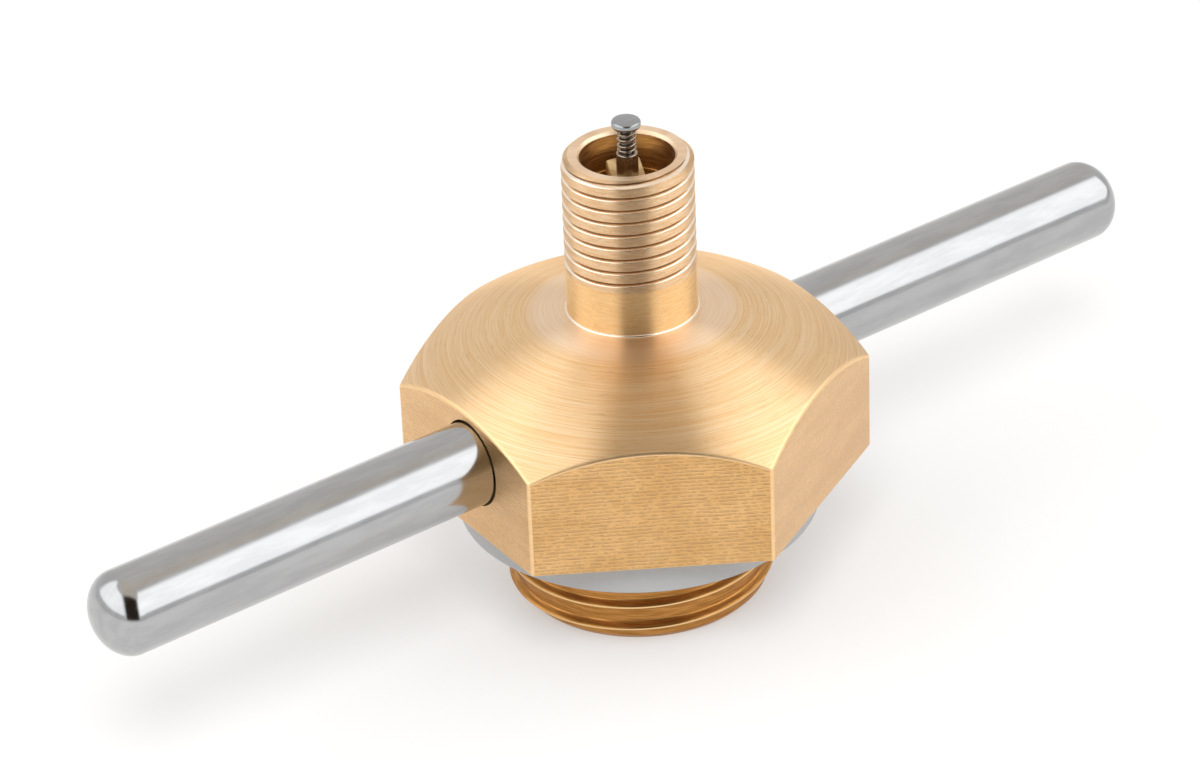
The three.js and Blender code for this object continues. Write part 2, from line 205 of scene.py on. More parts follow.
def add_world():
    """A white tent with soft boxes left and right of the camera, and a dark strip that runs from the
    camera over the top and fades out behind the object."""
    world = bpy.data.worlds.new("studio")
    bpy.context.scene.world = world
    world.use_nodes = True
    n = Nodes(world.node_tree)
    direction = n.add("ShaderNodeTexCoord").outputs["Generated"]
    toward = (CAMERA_AT - CAMERA_AIM).normalized()
    facing = math.atan2(toward.y, toward.x)
    turned = n.add(
        "ShaderNodeVectorRotate",
        {"Vector": direction, "Angle": -facing},
        rotation_type="Z_AXIS",
    ).outputs[0]
    # x points to the camera's side, y to the camera's right, z up
    front, right, up = n.add("ShaderNodeSeparateXYZ", {0: turned}).outputs
    off_centre = n.math("ABSOLUTE", n.math("SUBTRACT", right, 0.08))
    box = n.math("MULTIPLY", n.ramp(off_centre, 0.4, 0.5), n.ramp(up, 0.16, 0.24))
    box = n.math("MULTIPLY", box, n.math("SUBTRACT", 1.0, n.ramp(up, 0.84, 0.9)))
    back_edge = n.math("SUBTRACT", 1.0, n.ramp(n.math("MULTIPLY", front, -1.0), 0.3, 0.5))
    box = n.math("MULTIPLY", box, back_edge)
    box_level = n.mix(n.ramp(right, -0.3, 0.3), SOFT_BOX_LEFT, SOFT_BOX_RIGHT)
    level = n.mix(box, TENT, box_level)
    white = n.add("ShaderNodeCombineXYZ", {0: level, 1: level, 2: level}).outputs[0]
    strip = n.math("SUBTRACT", 1.0, n.ramp(off_centre, 0.34, 0.4))
    strip = n.math("MULTIPLY", strip, n.ramp(up, 0.02, 0.1))
    overhead = n.blend(n.ramp(front, -0.75, -0.1), STRIP_BEHIND, STRIP_ABOVE)
    strip_colour = n.blend(n.ramp(front, 0.3, 0.52), overhead, STRIP_FRONT)
    colour = n.blend(strip, white, strip_colour)
    background = n.add("ShaderNodeBackground", {"Color": colour, "Strength": 1.0})
    n.add("ShaderNodeOutputWorld", {"Surface": background.outputs[0]})


def add_floor():
    """A white table that glows a little, so that shadows on it stay faint."""
    size = 3.0
    mesh = bpy.data.meshes.new("floor")
    corners = [(-size, -size, 0), (size, -size, 0), (size, size, 0), (-size, size, 0)]
    mesh.from_pydata(corners, [], [(0, 1, 2, 3)])
    floor = bpy.data.objects.new("floor", mesh)
    floor.location.z = cad_box[0][2]
    bpy.context.scene.collection.objects.link(floor)
    material = bpy.data.materials.new("floor")
    material.use_nodes = True
    n = Nodes(material.node_tree)
    inputs = {
        "Base Color": (0.52, 0.52, 0.52, 1),
        "Roughness": 0.7,
        "Specular IOR Level": 0.0,
        "Emission Color": (1, 1, 1, 1),
        "Emission Strength": FLOOR_GLOW,
    }
    shader = n.add("ShaderNodeBsdfPrincipled", inputs)
    n.add("ShaderNodeOutputMaterial", {"Surface": shader.outputs[0]})
    mesh.materials.append(material)


def add_shadow_light():
    """A soft light from above the camera that only shows in the shadows on the table."""
    toward = (CAMERA_AT - CAMERA_AIM).normalized()
    level = Vector((toward.x, toward.y, 0)).normalized()
    way = (level * 0.6 + Vector((0, 0, 0.8))).normalized()
    data = bpy.data.lights.new("shadow_light", "AREA")
    data.shape = "DISK"
    data.size = 0.26
    data.energy = 1.7
    light = bpy.data.objects.new("shadow_light", data)
    turn = way.to_track_quat("Z", "Y").to_matrix().to_4x4()
    light.matrix_world = Matrix.Translation(way * 0.6) @ turn
    light.visible_glossy = False
    bpy.context.scene.collection.objects.link(light)


# ---- Meshes --------------------------------------------------------------------------------------


def make_piece(name, vertices, faces, body, materials, face_materials=None):
    mesh = bpy.data.meshes.new(name)
    mesh.from_pydata((np.asarray(vertices) * MM).tolist(), [], faces)
    mesh.validate()
    for material in materials:
        mesh.materials.append(material)
    if face_materials is not None:
        mesh.polygons.foreach_set("material_index", face_materials)
    mesh.polygons.foreach_set("use_smooth", [True] * len(mesh.polygons))
    mesh.update()
    piece = bpy.data.objects.new(name, mesh)
    bpy.context.scene.collection.objects.link(piece)
    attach(piece, body)
    return piece


def grid_faces(rows, columns, wrap_rows):
    """Quads of a grid whose columns close round the axis, and whose rows close too if asked."""
    count = rows if wrap_rows else rows - 1
    j, i = np.meshgrid(np.arange(count), np.arange(columns), indexing="ij")
    a = j * columns + i
    b = j * columns + (i + 1) % columns
    up = (j + 1) % rows
    c = up * columns + (i + 1) % columns
    d = up * columns + i
    return np.stack([a, b, c, d], axis=-1).reshape(-1, 4)


def lathe(profile, columns=96):
    """Vertices and faces of a profile of [radius, height] pairs turned about Z, going up the outside.
    A profile that starts and ends on the axis gets poles, and any other closes on itself."""
    profile = np.asarray(profile, float)
    angles = np.arange(columns) * 2 * np.pi / columns
    poles = profile[0][0] < 1e-9
    rings = profile[1:-1] if poles else profile
    radius = rings[:, :1]
    height = np.repeat(rings[:, 1:], columns, axis=1)
    grid = np.stack([radius * np.cos(angles), radius * np.sin(angles), height], axis=-1)
    vertices = grid.reshape(-1, 3)
    faces = grid_faces(len(rings), columns, not poles).tolist()
    if poles:
        low, high = len(vertices), len(vertices) + 1
        vertices = np.vstack([vertices, [0, 0, profile[0][1]], [0, 0, profile[-1][1]]])
        last = (len(rings) - 1) * columns
        for i in range(columns):
            after = (i + 1) % columns
            faces.append([low, after, i])
            faces.append([high, last + i, last + after])
    return vertices, faces


def rounded(points, steps=4):
    """A profile from [radius, height, fillet] corners, each eased by a curve of that size."""
    out = []
    count = len(points)
    for k, (x, z, fillet) in enumerate(points):
        here = np.array([x, z], float)
        if fillet <= 0:
            out.append(here)
            continue
        before = np.array(points[k - 1][:2], float)
        after = np.array(points[(k + 1) % count][:2], float)
        start = here + (before - here) / np.linalg.norm(before - here) * fillet
        end = here + (after - here) / np.linalg.norm(after - here) * fillet
        for t in np.linspace(0, 1, steps + 1):
            out.append((1 - t) ** 2 * start + 2 * t * (1 - t) * here + t**2 * end)
    return np.array(out)


# ---- Materials -----------------------------------------------------------------------------------


def new_material(name):
    material = bpy.data.materials.new(name)
    material.use_nodes = True
    return material, Nodes(material.node_tree)


def finish_material(n, inputs, bump=None, bump_distance=0.00002, bump_strength=0.5):
    if bump is not None:
        relief = n.add(
            "ShaderNodeBump",
            {"Height": bump, "Strength": bump_strength, "Distance": bump_distance},
        )
        inputs["Normal"] = relief.outputs[0]
    shader = n.add("ShaderNodeBsdfPrincipled", inputs)
    n.add("ShaderNodeOutputMaterial", {"Surface": shader.outputs[0]})
    return shader


class Turned:
    """Where the shaded point lies on a turned surface: its radius, height and angle round Z."""

    def __init__(self, n):
        self.n = n
        place = n.add("ShaderNodeTexCoord").outputs["Object"]
        self.x, self.y, self.height = n.add("ShaderNodeSeparateXYZ", {0: place}).outputs
        squares = n.math("ADD", n.math("MULTIPLY", self.x, self.x), n.math("MULTIPLY", self.y, self.y))
        self.radius = n.math("SQRT", squares)
        self.angle = n.math("ARCTAN2", self.y, self.x)

    def marks(self, along, round_scale, **settings):
        """Noise that varies with a distance along the profile, and slowly round the axis."""
        n = self.n
        across = n.math("MULTIPLY", n.math("DIVIDE", self.x, self.radius), round_scale)
        ahead = n.math("MULTIPLY", n.math("DIVIDE", self.y, self.radius), round_scale)
        return noise(n, along, across, ahead, **settings)


def noise(n, x, y, z, scale=1.0, detail=3.0, roughness=0.6):
    vector = n.add("ShaderNodeCombineXYZ", {0: x, 1: y, 2: z}).outputs[0]
    inputs = {"Vector": vector, "Scale": scale, "Detail": detail, "Roughness": roughness}
    return n.add("ShaderNodeTexNoise", inputs).outputs["Fac"]


BRASS = (0.96, 0.69, 0.405, 1)
BRASS_DEEP = (0.86, 0.55, 0.27, 1)
BRASS_PALE = (0.97, 0.80, 0.66, 1)
STEM_LIGHT = (0.95, 0.70, 0.45, 1)
STEM_DEEP = (0.85, 0.56, 0.31, 1)
# the boss thread is a darker, deeper copy of the brass: painted shade under the hexagon
BOSS_PAINTED_SHADE_LIGHT = (0.57, 0.275, 0.078, 1)
BOSS_PAINTED_SHADE_DEEP = (0.38, 0.165, 0.038, 1)
# the flats are a darker, more saturated copy of the brass: painted shade standing in for their
# interreflections
FLAT_LIGHT = (0.80, 0.475, 0.18, 1)
FLAT_DEEP = (0.70, 0.39, 0.125, 1)
SCRATCH = (0.42, 0.24, 0.10, 1)
# pale colour for painted highlights: the thread stripes and the neck's foot
PALE_PAINTED_HIGHLIGHT = (0.98, 0.84, 0.68, 1)
# painted shade in the stem thread's grooves
GROOVE_SHADE = (0.28, 0.14, 0.06, 1)
# painted highlight along the boss thread's crests
BOSS_PAINTED_HIGHLIGHT = (0.90, 0.62, 0.31, 1)


def radial_tangent(n):
    return n.add("ShaderNodeTangent", direction_type="RADIAL", axis="Z").outputs[0]


def turned_brass():
    """Lathe-turned brass: fine concentric marks, and highlights that fan out across them."""
    material, n = new_material("turned_brass")
    at = Turned(n)
    along = n.math("MULTIPLY", n.math("SUBTRACT", at.radius, at.height), 12000.0)
    marks = at.marks(along, 1.6, detail=5.0, roughness=0.75)
    broad = at.marks(n.math("MULTIPLY", along, 0.5), 0.8, detail=4.0)
    mixed = n.math("ADD", n.math("MULTIPLY", marks, 0.6), n.math("MULTIPLY", broad, 0.4))
    tint = n.ramp(mixed, 0.37, 0.63)
    colour = n.blend(tint, BRASS_DEEP, BRASS)
    # a painted highlight: the paler ring round the stem's foot; paler smears further out vary at random
    painted_highlight_ring = n.math("SUBTRACT", 1.0, n.ramp(at.radius, 0.0056, 0.0066))
    smears = n.math("MULTIPLY", n.ramp(broad, 0.52, 0.64), 0.1)
    colour = n.blend(n.math("MAXIMUM", n.math("MULTIPLY", painted_highlight_ring, 0.42), smears), colour, BRASS_PALE)
    fine = at.marks(n.math("MULTIPLY", along, 1.2), 7.0, detail=2.0)
    scratches = n.math("MULTIPLY", n.ramp(fine, 0.6, 0.7), n.math("SUBTRACT", 1.0, painted_highlight_ring))
    colour = n.blend(n.math("MULTIPLY", scratches, 0.32), colour, SCRATCH)
    inputs = {
        "Base Color": colour,
        "Metallic": 1.0,
        "Roughness": n.mix(marks, 0.3, 0.42),
        "Anisotropic": 1.0,
        "Anisotropic Rotation": 0.25,
        "Tangent": radial_tangent(n),
    }
    finish_material(n, inputs, n.math("SUBTRACT", marks, scratches), 0.00001, 0.3)
    return material


def drawn_brass():
    """The hexagon's flats: level rows of short tool marks with dark specks in them."""
    material, n = new_material("drawn_brass")
    place = n.add("ShaderNodeTexCoord").outputs["Object"]
    x, y, z = n.add("ShaderNodeSeparateXYZ", {0: place}).outputs
    across = n.math("SUBTRACT", n.math("MULTIPLY", x, 0.8), n.math("MULTIPLY", y, 0.6))
    sway = noise(n, n.math("MULTIPLY", x, 120.0), n.math("MULTIPLY", y, 120.0), n.math("MULTIPLY", z, 300.0))
    rows = n.math("ADD", n.math("MULTIPLY", z, 2 * math.pi / 0.00023), n.math("MULTIPLY", sway, 8.0))
    rows = n.math("ADD", n.math("MULTIPLY", n.math("SINE", rows), 0.5), 0.5)
    broken = noise(
        n,
        n.math("MULTIPLY", x, 3400.0),
        n.math("MULTIPLY", y, 3400.0),
        n.math("MULTIPLY", z, 5500.0),
        detail=3.0,
    )
    dashes = n.math("MULTIPLY", n.ramp(rows, 0.2, 0.8), n.ramp(broken, 0.36, 0.58))
    specks = noise(
        n,
        n.math("MULTIPLY", x, 5200.0),
        n.math("MULTIPLY", y, 5200.0),
        n.math("MULTIPLY", z, 9000.0),
        detail=2.0,
    )
    pits = n.ramp(specks, 0.64, 0.72)
    cloud = noise(n, n.math("MULTIPLY", across, 260.0), 0.0, n.math("MULTIPLY", z, 500.0), detail=2.0)
    colour = n.blend(n.ramp(cloud, 0.3, 0.7), FLAT_DEEP, FLAT_LIGHT)
    colour = n.blend(n.math("MULTIPLY", dashes, 0.36), colour, SCRATCH)
    colour = n.blend(n.math("MULTIPLY", pits, 0.45), colour, SCRATCH)
    inputs = {
        "Base Color": colour,
        "Metallic": 1.0,
        "Roughness": 0.38,
        "Coat Weight": 1.0,
        "Coat Roughness": 0.4,
        "Coat IOR": 1.5,
    }
    dents = n.math("ADD", dashes, n.math("MULTIPLY", pits, 0.6))
    finish_material(n, inputs, n.math("SUBTRACT", 1.0, dents), 0.00004, 0.55)
    return material


def lip_mask(n, at, pitch, offset, low, high):
    """1 on a stripe that follows a right-hand thread, from low to high above each turn's start."""
    turn = n.math("DIVIDE", n.math("SUBTRACT", at.angle, CREST_FACING), 2 * math.pi)
    rise = n.math("SUBTRACT", n.math("DIVIDE", at.height, pitch * MM), turn)
    phase = n.math("FRACT", n.math("SUBTRACT", rise, offset / pitch))
    soft = 0.012
    start = n.ramp(phase, low / pitch, low / pitch + soft)
    end = n.math("SUBTRACT", 1.0, n.ramp(phase, high / pitch - soft, high / pitch))
    return n.math("MULTIPLY", start, end)


def threaded_brass(name, light, dark, roughness=0.42, anisotropy=1.0, lip=None, painted_highlight_colour=PALE_PAINTED_HIGHLIGHT, shade=None):
    """Cut threads and the neck: a satin brass with faint marks and grain along the helix. The lip is
    a smoother stripe that follows the thread with a painted highlight in its colour, and the shade
    is painted shade, a dark stripe in its grooves."""
    material, n = new_material(name)
    at = Turned(n)
    level = n.math("MULTIPLY", at.height, 9000.0)
    marks = at.marks(level, 4.0, detail=4.0)
    grain = at.marks(n.math("MULTIPLY", level, 0.8), 26.0, detail=2.0)
    colour = n.blend(n.ramp(marks, 0.35, 0.65), dark, light)
    colour = n.blend(n.math("MULTIPLY", n.ramp(grain, 0.58, 0.72), 0.25), colour, SCRATCH)
    if lip is not None:
        # painted highlight: a pale stripe along the thread, on a smoother finish
        shine = lip_mask(n, at, *lip)
        colour = n.blend(shine, colour, painted_highlight_colour)
        roughness = n.mix(shine, roughness, 0.2)
        anisotropy = n.mix(shine, anisotropy, 0.0)
    if shade is not None:
        # painted shade: a dark stripe in the thread's grooves
        shadow = n.math("MULTIPLY", lip_mask(n, at, *shade), 0.8)
        colour = n.blend(shadow, colour, GROOVE_SHADE)
    inputs = {
        "Base Color": colour,
        "Metallic": 1.0,
        "Roughness": roughness,
        "Anisotropic": anisotropy,
        "Anisotropic Rotation": 0.25,
        "Tangent": radial_tangent(n),
    }
    finish_material(n, inputs, n.math("ADD", marks, grain), 0.00001, 0.25)
    return material


def plain_brass(name, light, dark, roughness):
    """Small turned faces without a fan of highlights."""
    material, n = new_material(name)
    at = Turned(n)
    marks = at.marks(n.math("MULTIPLY", at.height, 7000.0), 2.0, detail=4.0)
    colour = n.blend(n.ramp(marks, 0.35, 0.65), dark, light)
    inputs = {"Base Color": colour, "Metallic": 1.0, "Roughness": roughness}
    finish_material(n, inputs, marks, 0.00002, 0.3)
    return material


def steel(name, colour, roughness):
    """Polished steel with faint smears along it."""
    material, n = new_material(name)
    place = n.add("ShaderNodeTexCoord").outputs["Object"]
    x, y, z = n.add("ShaderNodeSeparateXYZ", {0: place}).outputs
    smears = noise(
        n,
        n.math("MULTIPLY", x, 300.0),
        n.math("MULTIPLY", y, 1500.0),
        n.math("MULTIPLY", z, 1500.0),
        detail=4.0,
    )
    spread = {
        "Value": smears,
        "From Min": 0.3,
        "From Max": 0.7,
        "To Min": roughness * 0.8,
        "To Max": roughness * 1.3,
    }
    rough = n.add("ShaderNodeMapRange", spread).outputs["Result"]
    dull = tuple(c * 0.9 for c in colour[:3]) + (1,)
    tint = n.blend(n.ramp(smears, 0.35, 0.65), dull, colour)
    inputs = {"Base Color": tint, "Metallic": 1.0, "Roughness": rough}
    finish_material(n, inputs, smears, 0.000004, 0.25)
    return material


def rubber(name, colour, roughness):
    material, n = new_material(name)
    place = n.add("ShaderNodeTexCoord").outputs["Object"]
    inputs = {"Vector": place, "Scale": 6000.0, "Detail": 3.0}
    grain = n.add("ShaderNodeTexNoise", inputs).outputs["Fac"]
    dark = tuple(c * 0.97 for c in colour[:3]) + (1,)
    tint = n.blend(n.ramp(grain, 0.3, 0.7), dark, colour)
    inputs = {"Base Color": tint, "Roughness": roughness, "Specular IOR Level": 0.3}
    finish_material(n, inputs, grain, 0.00001, 0.1)
    return material


# ---- Cap body ------------------------------------------------------------------------------------

# the body's finishes, in the order of its materials
(
    TURNED,
    DRAWN,
    STEM_THREAD,
    BOSS_THREAD,
    BORE,
    NECK,
    FOOT_EDGE_PAINTED_HIGHLIGHT,
    RIM,
    HEX_EDGE,
) = range(9)


def hex_columns():
    """Angles round the axis, close together at the hexagon's corners, the hexagon's radius there, and
    whether the face that follows each angle is on a rounded corner."""
    half = HEX_ACROSS_FLATS / 2
    centre = (half - HEX_CORNER_FILLET) / math.cos(math.pi / 6)
    tangent = math.atan((half - HEX_CORNER_FILLET) * math.tan(math.pi / 6) / half)
    corner = math.pi / 6
    flat = np.linspace(-tangent, tangent, 25)
    ease = np.linspace(tangent, corner, 5)[1:-1]
    sector = np.concatenate([[-corner], -ease[::-1], flat, ease])
    angles, radii, cornered = [], [], []
    for k in range(6):
        for phi in sector:
            if abs(phi) <= tangent + 1e-9:
                radius = half / math.cos(phi)
            else:
                off = corner - abs(phi)
                reach = HEX_CORNER_FILLET**2 - (centre * math.sin(off)) ** 2
                radius = centre * math.cos(off) + math.sqrt(reach)
            angles.append(HEX_CLOCKING + k * math.pi / 3 + phi)
            radii.append(radius)
            cornered.append(phi > tangent - 1e-9 or phi < -tangent - 1e-9)
    return np.array(angles), np.array(radii), np.array(cornered)


def shoulder_height(radius):
    reach = SHOULDER_RADIUS**2 - (radius - SHOULDER_OFFSET) ** 2
    return SHOULDER_TOP - SHOULDER_RADIUS + np.sqrt(reach)


def helix_phase(heights, angles, pitch, offset):
    """How far each point lies up its turn of a right-hand thread, from 0 to 1."""
    turn = (angles - CREST_FACING) / (2 * np.pi)
    return (heights / pitch - turn - offset) % 1.0


def stem_thread_radius(heights, angles):
    """Wide rounded crests between narrow grooves; the thread fades out below."""
    phase = helix_phase(heights, angles, STEM_PITCH, STEM_GROOVE / STEM_PITCH)
    off = np.minimum(phase, 1 - phase) * STEM_PITCH  # distance from the groove's middle
    crest = 0.07 * np.abs(1 - off / (STEM_PITCH / 2)) ** 2.5
    groove = 0.17 * np.clip(1 - off / 0.14, 0, 1) ** 1.1
    lean = 0.035 * phase
    fade = np.clip((heights - STEM_THREAD_BOTTOM) / 0.4, 0, 1)
    chamfer = np.clip(heights - (STEM_TOP - RIM_CHAMFER), 0, None) * RIM_SLOPE
    return STEM_RADIUS - (crest + groove + lean) * fade - chamfer


def boss_thread_radius(heights, angles):
    """Narrow crests and broad hollow roots; chamfered below and run out above."""
    phase = helix_phase(heights, angles, BOSS_PITCH, BOSS_CREST / BOSS_PITCH)
    off = np.minimum(phase, 1 - phase) * 2  # 0 on the crest and 1 in the root's middle
    slope = np.clip((off - 0.06) / 0.42, 0, 1)
    radius = BOSS_RADIUS - 0.4 * slope**2 * (3 - 2 * slope)
    chamfer = BOSS_RADIUS - 0.75 + np.clip(heights, 0, None) * 0.9
    run_out = BOSS_RADIUS - 1.0 * np.clip((heights - BOSS_THREAD_TOP + 0.5) / 0.9, 0, 1) ** 2
    return np.minimum(np.minimum(radius, chamfer), np.maximum(run_out, RELIEF_RADIUS))


def cap_rows(angles, hex_radii):
    """The body's surface as rows of radii and heights: out under the boss, up the outside, in over the
    mouth and down the bore. Each row also says which finish it has."""
    rows = []
    ones = np.ones_like(angles)

    def add(radius, height, finish):
        rows.append((ones * radius, ones * height, finish))

    # the gas way's mouth and the boss's end
    for radius, height in rounded([[GAS_WAY_RADIUS, 0.6, 0], [2.4, 0, 0.08], [7.25, 0, 0.08]])[0:6]:
        add(radius, height, TURNED)
    for radius in (3.2, 4.6, 6.0, 7.0, 7.17):
        add(radius, 0.0, TURNED)
    # the boss's thread
    for height in np.arange(0.03, BOSS_THREAD_TOP + 0.35, 0.045):
        add(boss_thread_radius(height, angles), height, BOSS_THREAD)
    for height in np.linspace(BOSS_THREAD_TOP + 0.4, HEX_BOTTOM - 0.2, 6):
        add(RELIEF_RADIUS, height, BOSS_THREAD)
    for t in np.linspace(0.2, 1, 5):
        add(RELIEF_RADIUS + 0.2 * t**2, HEX_BOTTOM - 0.2 * (1 - t) ** 2, TURNED)
    # under the hexagon
    edge = 0.1
    for share in (0.3, 0.6, 0.9, 0.98):
        inner = RELIEF_RADIUS + 0.2
        add(inner + (hex_radii - edge - inner) * share, HEX_BOTTOM, TURNED)
    for t in np.linspace(0, 1, 5):
        add(hex_radii - edge * (1 - t) ** 2, HEX_BOTTOM + edge * t**2, DRAWN)
    # the flats
    ease = 0.14
    rim = shoulder_height(hex_radii) - ease
    for share in np.linspace(0.02, 0.99, 14):
        low = HEX_BOTTOM + edge
        add(hex_radii, low + (rim - low) * share, DRAWN)
    # the edge between flats and shoulder
    for t in np.linspace(0, 1, 5):
        radius = hex_radii - ease * t**2
        height = (1 - t) ** 2 * rim + (1 - (1 - t) ** 2) * shoulder_height(radius)
        add(radius, height, HEX_EDGE if t < 0.9 else TURNED)
    # the shoulder, inwards
    foot = NECK_RADIUS + FOOT_FILLET
    for share in np.linspace(0.015, 1, 40):
        radius = (hex_radii - ease) + (foot - hex_radii + ease) * share
        add(radius, shoulder_height(radius), TURNED)
    # the fillet at the neck's foot, and the neck
    for t in np.linspace(0.2, 1, 5):
        # the fillet's rows take a pale, smoother finish: a painted highlight round the neck's foot
        radius = NECK_RADIUS + FOOT_FILLET * (1 - t) ** 2
        add(radius, shoulder_height(foot) + FOOT_FILLET * t**2, FOOT_EDGE_PAINTED_HIGHLIGHT if t < 0.9 else NECK)
    for height in np.linspace(SHOULDER_TOP + 0.25, STEM_THREAD_BOTTOM - 0.05, 8):
        add(NECK_RADIUS, height, NECK)
    # the stem's thread
    for height in np.arange(STEM_THREAD_BOTTOM, STEM_TOP - 0.02, 0.024):
        add(stem_thread_radius(height, angles), height, STEM_THREAD)
    # the mouth's rim and its inner chamfer
    rim_outer = STEM_RADIUS - RIM_CHAMFER * RIM_SLOPE
    for radius in (rim_outer - 0.01, rim_outer - 0.04, 3.2, 2.95, RIM_INNER_RADIUS):
        add(radius, STEM_TOP, RIM)
    for t in np.linspace(0.05, 1, 6):
        radius = RIM_INNER_RADIUS + (MOUTH_RADIUS - RIM_INNER_RADIUS) * t
        add(radius, STEM_TOP - 0.2 * t**1.2, RIM)
    # down the bore
    for height in np.linspace(STEM_TOP - 0.23, MOUTH_BOTTOM + 0.02, 8):
        add(MOUTH_RADIUS, height, BORE)
    for radius, height in (
        (MOUTH_RADIUS - 0.01, MOUTH_BOTTOM),
        (CORE_BORE_RADIUS + 0.01, MOUTH_BOTTOM),
        (CORE_BORE_RADIUS, MOUTH_BOTTOM - 0.02),
        (CORE_BORE_RADIUS, SEAT_TOP + 0.02),
        (CORE_BORE_RADIUS - 0.01, SEAT_TOP - 0.01),
        (GAS_WAY_RADIUS + 0.01, SEAT_BOTTOM + 0.01),
        (GAS_WAY_RADIUS, SEAT_BOTTOM - 0.02),
        (GAS_WAY_RADIUS, 10.0),
    ):
        add(radius, height, BORE)
    return rows


def cut_round_hole(piece, low_x, high_x, radius):
    """Cuts a hole along X at the handle's height."""
    profile = [[0, low_x], [radius, low_x], [radius, high_x], [0, high_x]]
    vertices, faces = lathe(profile, 128)
    # turned about Z, so lay the cutter along X
    laid = np.stack([vertices[:, 2], vertices[:, 1], -vertices[:, 0]], axis=-1)
    laid[:, 2] += HANDLE_HEIGHT
    cut_away(piece, laid, faces)


def cut_away(piece, vertices, faces):
    """Takes a closed shape out of a piece."""
    mesh = bpy.data.meshes.new("cutter")
    mesh.from_pydata((np.asarray(vertices) * MM).tolist(), [], faces)
    cutter = bpy.data.objects.new("cutter", mesh)
    bpy.context.scene.collection.objects.link(cutter)
    modifier = piece.modifiers.new("hole", "BOOLEAN")
    modifier.operation = "DIFFERENCE"
    modifier.solver = "EXACT"
    modifier.object = cutter
    apply_modifiers(piece)
    bpy.data.objects.remove(cutter)


def apply_modifiers(piece):
    bpy.context.view_layer.update()
    depsgraph = bpy.context.evaluated_depsgraph_get()
    mesh = bpy.data.meshes.new_from_object(piece.evaluated_get(depsgraph))
    piece.modifiers.clear()
    piece.data = mesh


def make_cap_body():
    angles, hex_radii, cornered = hex_columns()
    rows = cap_rows(angles, hex_radii)
    grid = np.array([[r * np.cos(angles), r * np.sin(angles), z] for r, z, _ in rows])
    vertices = grid.transpose(0, 2, 1).reshape(-1, 3)
    faces = grid_faces(len(rows), len(angles), True)
    finishes = np.repeat([finish for _, _, finish in rows], len(angles)).reshape(len(rows), -1)
    # the flats' rounded corners take the paler corner finish, a painted highlight
    finishes[np.ix_([finish == 1 for _, _, finish in rows], cornered)] = HEX_EDGE
    finishes = finishes.ravel()
    materials = [
        turned_brass(),
        # the flats' darker colours are painted shade; their tool marks and specks are real
        drawn_brass(),
        threaded_brass("stem_thread_brass", STEM_LIGHT, STEM_DEEP, 0.52, lip=STEM_HIGHLIGHT_STRIPE, shade=STEM_SHADE),
        # the boss's darker colours are painted shade
        threaded_brass("boss_thread_brass", BOSS_PAINTED_SHADE_LIGHT, BOSS_PAINTED_SHADE_DEEP, 0.34, 0.6, BOSS_HIGHLIGHT_STRIPE, BOSS_PAINTED_HIGHLIGHT),
        # the bore's darker colours are painted shade inside the mouth
        plain_brass("bore_shaded_brass", (0.84, 0.57, 0.29, 1), (0.52, 0.32, 0.14, 1), 0.34),
        threaded_brass("neck_brass", (0.95, 0.66, 0.34, 1), (0.90, 0.58, 0.27, 1), 0.44),
        # a painted highlight round the neck's foot, on a smoother finish
        plain_brass("foot_edge_highlight_brass", PALE_PAINTED_HIGHLIGHT, (0.95, 0.76, 0.55, 1), 0.22),
        plain_brass("rim_brass", (0.93, 0.72, 0.51, 1), (0.82, 0.58, 0.38, 1), 0.42),
        # paler than the flats: a painted highlight along the hexagon's corners and edge, on a satin finish
        plain_brass("corner_highlight_brass", (0.90, 0.62, 0.34, 1), (0.86, 0.57, 0.29, 1), 0.36),
    ]
    piece = make_piece(
        "brass_body", vertices, faces.tolist(), "cap", materials, finishes
    )
    hole = ROD_RADIUS + ROD_HOLE_CLEARANCE
    for sign in (-1, 1):
        cut_round_hole(piece, *sorted((sign * 8.0, sign * 16.0)), hole)
        cut_round_hole(piece, *sorted((sign * 3.4, sign * 8.2)), STUB_HOLE_RADIUS)
    sharpen(piece)
    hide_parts("cap_body")
    return piece


def sharpen(piece, degrees=38):
    """Smooth shading that breaks at edges sharper than this, with the big faces leading the normals."""
    mesh = piece.data
    mesh.polygons.foreach_set("use_smooth", [True] * len(mesh.polygons))
    mesh.set_sharp_from_angle(angle=math.radians(degrees))
    weighted = piece.modifiers.new("normals", "WEIGHTED_NORMAL")
    weighted.keep_sharp = True
    weighted.weight = 60


# ---- Handle, washer and valve core ---------------------------------------------------------------


def make_rod(name, node, sign, material):
    low, high = node_box(node)
    tip = high[0] if sign > 0 else -low[0]
    dome = 1.9
    start = 8.0
    profile = [[0, 3.6], [1.75, 3.6], [1.9, 3.75], [1.9, start], [ROD_RADIUS - 0.1, start]]
    profile.append([ROD_RADIUS, start + 0.1])
    for x in np.linspace(start + 0.5, tip - dome - 0.02, 30):
        profile.append([ROD_RADIUS, x])
    for t in np.linspace(0, np.pi / 2, 20)[:-1]:
        profile.append([ROD_RADIUS * math.cos(t), tip - dome + dome * math.sin(t)])
    profile.append([0, tip])
    vertices, faces = lathe(profile, 96)
    laid = np.stack([sign * vertices[:, 2], sign * vertices[:, 1], -vertices[:, 0]], axis=-1)
    laid[:, 2] += HANDLE_HEIGHT
    laid[:, 1] *= sign
    if sign < 0:
        faces = [face[::-1] for face in faces]
    piece = make_piece(name, laid, faces, "cap", [material])
    sharpen(piece)
    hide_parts(node)
    return piece


